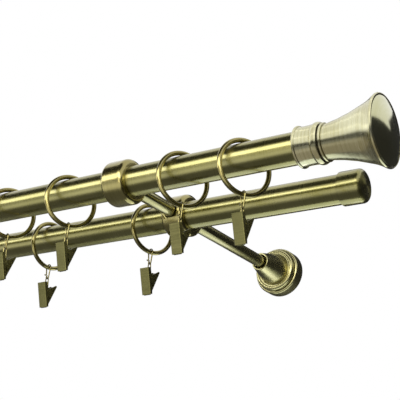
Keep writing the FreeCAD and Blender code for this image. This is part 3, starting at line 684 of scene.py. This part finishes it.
def softened(name, node, finish, width, sharp=30.0, body=None, keep=None):
    """A copy of a solid with merged points, joined flat faces and, where `width` isn't 0, bevelled edges.

    With `keep`, only the faces whose middle it accepts stay, and the cut ends are closed.
    """
    mesh = frame["nodes"][node].data.copy()
    work = bmesh.new()
    work.from_mesh(mesh)
    bmesh.ops.remove_doubles(work, verts=work.verts, dist=1e-6)
    if keep:
        others = [face for face in work.faces if not keep(face.calc_center_median())]
        bmesh.ops.delete(work, geom=others, context="FACES")
        bmesh.ops.holes_fill(work, edges=work.edges, sides=0)
    bmesh.ops.dissolve_limit(work, angle_limit=math.radians(1.0), verts=work.verts, edges=work.edges)
    work.to_mesh(mesh)
    work.free()
    piece = piece_from(name, mesh, node, body or body_of[node], finish, sharp)
    if width:
        bevel = piece.modifiers.new("soft_edges", "BEVEL")
        bevel.width = width * MM
        bevel.segments = 2
        bevel.limit_method = "ANGLE"
        bevel.angle_limit = math.radians(EDGE_DEGREES)


for end in ("right", "left"):
    for node in ("front_collar_" + end, "rear_collar_" + end):
        softened(node + "_body", node, collar_brass, 0.0, sharp=40.0)
COIL_RADIUS = 2.3 * MM
COIL_MARGIN = 1.01
JAW_BEVEL = 0.12


def on_back_leg(spot, pin):
    """True outside the coil on the wall's side of the pin, where the two legs lie on the back jaw."""
    behind = (np.array(spot) - pin) @ facing
    return behind > 0 and math.hypot(behind, spot[2] - pin[2]) > COIL_RADIUS * COIL_MARGIN


hinges = {joint["name"]: joint for joint in record["behaviour"]["joints"]}
for name, _, _, _ in HOOPS:
    softened("front_clip_" + name, "front_jaw_" + name, sheet_brass, JAW_BEVEL)
    softened("back_clip_" + name, "back_jaw_" + name, sheet_brass, JAW_BEVEL)
    pin = np.array(hinges["clip_" + name + "_open"]["pos_m"])
    softened("coil_" + name, "spring_" + name, dark_steel, 0.0,
             keep=lambda spot: not on_back_leg(spot, pin))
    softened("coil_legs_" + name, "spring_" + name, dark_steel, 0.0, body=body_of["back_jaw_" + name],
             keep=lambda spot: on_back_leg(spot, pin))

# %% [markdown]
# ## Hidden and small solids
#
# The wall plates stand inside the roses and the grub screws sit in their holes, so their solids stay as
# they are and only take a finish.

# %% Finish the solids that stay
for node, piece in frame["nodes"].items():
    finish = dark_steel if node.endswith("_screws") else arm_brass
    if node.startswith("wall_plate") or node.endswith("_screws"):
        piece.data.materials.clear()
        piece.data.materials.append(finish)

# %% [markdown]
# ## The studio
#
# Brass shows its surroundings more than itself. The backdrop is white all round and the floor is pale.
# Black and grey screens stand round the pole, as a photographer sets them for metal: one overhead gives the
# tubes their dark upper band, those in front tone the room down, and those at the right darken the arms,
# the rose, the clips' sides and the end faces. They are seen only in reflections, and cast no shadow.
#
# Long lamps lie along the tubes: a bright one for the sharp line, two soft ones in front, and one low at
# the right, so that the undersides lighten towards that end. Another low one lies behind the rose, and a
# warm softbox stands further out at the right. The finials have three soft lamps of their own, and
# four of the others leave them out, because the picture lights them unlike the tubes.

# %% Light the studio
FLOOR_Z = -1.0
world = bpy.data.worlds.new("white_backdrop")
bpy.context.scene.world = world
world.use_nodes = True
world.node_tree.nodes["Background"].inputs["Color"].default_value = (1, 1, 1, 1)
world.node_tree.nodes["Background"].inputs["Strength"].default_value = 1.0


def painted(name, colour):
    """A matt paint for the studio's floor."""
    finish = bpy.data.materials.new(name)
    finish.use_nodes = True
    paint = finish.node_tree.nodes["Principled BSDF"]
    paint.inputs["Base Color"].default_value = linear(colour)
    paint.inputs["Roughness"].default_value = 0.9
    return finish


def toned(name, tone):
    """A screen's evenly lit cloth, as bright as `tone`, where 1 is white."""
    finish = bpy.data.materials.new(name)
    finish.use_nodes = True
    cloth = finish.node_tree.nodes["Principled BSDF"]
    cloth.inputs["Base Color"].default_value = (0, 0, 0, 1)
    cloth.inputs["Specular IOR Level"].default_value = 0.0
    cloth.inputs["Emission Color"].default_value = (1, 1, 1, 1)
    cloth.inputs["Emission Strength"].default_value = tone
    finish.cycles.emission_sampling = "NONE"
    return finish


def staged(name, corners, finish, seen=True):
    """A flat sheet through four corners, in metres. With `seen` False it shows only in reflections."""
    mesh = bpy.data.meshes.new(name)
    mesh.from_pydata(corners, [], [(0, 1, 2, 3)])
    mesh.materials.append(finish)
    sheet = bpy.data.objects.new(name, mesh)
    bpy.context.scene.collection.objects.link(sheet)
    sheet.visible_camera = sheet.visible_shadow = sheet.visible_diffuse = seen


FLOOR_HALF = 60.0
corners = [(x * FLOOR_HALF, y * FLOOR_HALF, FLOOR_Z) for x, y in ((-1, -1), (1, -1), (1, 1), (-1, 1))]
staged("floor", corners, painted("pale_painted_floor", "#d2d2d2"))
black_felt = toned("black_felt", 0.03)
dark_felt = toned("dark_grey_felt", 0.07)
grey_card = toned("grey_card", 0.5)
grey_mat = toned("dark_grey_mat", 0.15)
floor_mat = toned("grey_floor_mat", 0.3)


def screen(name, place, low, high, finish):
    """A screen seen only in reflections, at `place` (axis, metres), between two corners on the other axes."""
    axis, level = place
    corners = []
    for first, second in ((low[0], low[1]), (high[0], low[1]), (high[0], high[1]), (low[0], high[1])):
        corner = [first, second]
        corner.insert("xyz".index(axis), level)
        corners.append(corner)
    staged("screen_" + name, corners, finish, seen=False)


screen("overhead", ("z", 1.2), (-4.5, -2.0), (1.5, -0.5), black_felt)
screen("front", ("y", -2.6), (-7.0, 0.0), (2.0, 1.2), grey_card)
screen("front_low", ("y", -2.6), (-7.0, -1.0), (2.0, 0.0), dark_felt)
screen("low", ("z", -0.9), (-2.2, -0.9), (1.3, 2.5), grey_mat)
screen("front_floor", ("z", -0.9), (-7.0, -2.6), (2.0, -0.9), floor_mat)
screen("back", ("y", 2.5), (-2.2, -0.9), (1.3, 0.02), dark_felt)
screen("left", ("x", -2.2), (-2.6, -0.9), (2.5, 0.12), dark_felt)
staged("screen_right", [(1.3, -1.2, -0.9), (1.3, 3.0, -0.9), (1.3, 3.0, 1.24), (1.3, -1.2, 0.0)],
       black_felt, seen=False)
screen("far_right", ("y", 3.0), (0.5, -0.9), (1.3, 1.24), black_felt)
screen("bracket", ("y", 0.2), (0.2, -0.25), (0.62, 0.5), black_felt)
screen("cap", ("y", 0.2), (0.62, -0.25), (0.9, 0.3), black_felt)

BETWEEN_TUBES = np.array((0.0, (FRONT_Y + REAR_Y) / 2 * MM, 0.0))


def linked(name, state):
    """A collection of the finials' pieces, for a lamp that lights only them, or all but them."""
    group = bpy.data.collections.new(name)
    for end in ("right", "left"):
        for piece in ("finial_trumpet_", "finial_cover_"):
            group.objects.link(bpy.data.objects[piece + end])
    for item in group.collection_objects:
        item.light_linking.link_state = state
    return group


only_finials = linked("only_finials", "INCLUDE")
all_but_finials = linked("all_but_finials", "EXCLUDE")


def strip_lamp(name, low, high, radiance, distance, left, right, colour=(1.0, 1.0, 1.0), lit=None):
    """A long lamp from x = left to right that fills the directions between two angles about X.

    The angle is counted in degrees in the plane of Y and Z from the wall side upwards: 90 is straight up
    and 180 is level into the room. Its power is radiance * pi * its area.
    """
    middle = math.radians((low + high) / 2)
    width = 2 * distance * math.tan(math.radians(high - low) / 2)
    towards = np.array((0.0, math.cos(middle), math.sin(middle)))
    data = bpy.data.lights.new(name, "AREA")
    data.shape = "RECTANGLE"
    data.size = right - left
    data.size_y = width
    data.energy = radiance * math.pi * (right - left) * width
    data.color = colour
    lamp = bpy.data.objects.new(name, data)
    sideways = np.array((1.0, 0.0, 0.0))
    above = np.cross(towards, sideways)
    axes = Matrix((sideways.tolist(), above.tolist(), towards.tolist())).transposed()
    centre = BETWEEN_TUBES + distance * towards + sideways * (left + right) / 2
    lamp.matrix_world = Matrix.Translation(centre.tolist()) @ axes.to_4x4()
    lamp.visible_camera = False
    bpy.context.scene.collection.objects.link(lamp)
    lamp.light_linking.receiver_collection = lit


strip_lamp("key_strip", 155.0, 176.0, 3.1, 0.40, -0.55, 1.0, lit=all_but_finials)
strip_lamp("front_wide", 182.0, 223.0, 0.55, 0.60, -0.9, 1.2, lit=all_but_finials)
strip_lamp("front_fill", 194.0, 215.0, 0.3, 0.62, -0.9, 1.2, lit=all_but_finials)
strip_lamp("low_fill", 286.0, 330.0, 1.15, 0.60, 0.1, 0.9, (0.92, 1.0, 1.0))
strip_lamp("rose_fill", 318.0, 346.0, 1.1, 0.80, 0.25, 0.6)
strip_lamp("finial_top", 101.0, 147.0, 1.05, 0.60, -3.0, 1.2, lit=only_finials)
strip_lamp("finial_front", 147.0, 184.0, 0.65, 0.60, -3.0, 1.2, lit=only_finials)
strip_lamp("finial_low", 215.0, 285.0, 0.2, 0.60, -3.0, 1.2, (1.0, 0.85, 0.62), lit=only_finials)

SOFTBOX_SPOT = (0.9, -1.25, 0.15)
SOFTBOX_WIDTH = 0.8
SOFTBOX_HEIGHT = 0.9
SOFTBOX_RADIANCE = 1.5
softbox_data = bpy.data.lights.new("softbox_right", "AREA")
softbox_data.shape = "RECTANGLE"
softbox_data.size = SOFTBOX_WIDTH
softbox_data.size_y = SOFTBOX_HEIGHT
softbox_data.energy = SOFTBOX_RADIANCE * math.pi * SOFTBOX_WIDTH * SOFTBOX_HEIGHT
softbox_data.color = (1.0, 0.93, 0.78)
softbox = bpy.data.objects.new("softbox_right", softbox_data)
softbox.location = SOFTBOX_SPOT
softbox.rotation_euler = (math.radians(90.0), 0.0, 0.0)
softbox.visible_camera = False
bpy.context.scene.collection.objects.link(softbox)
softbox.light_linking.receiver_collection = all_but_finials

bpy.context.scene.view_settings.view_transform = "Standard"
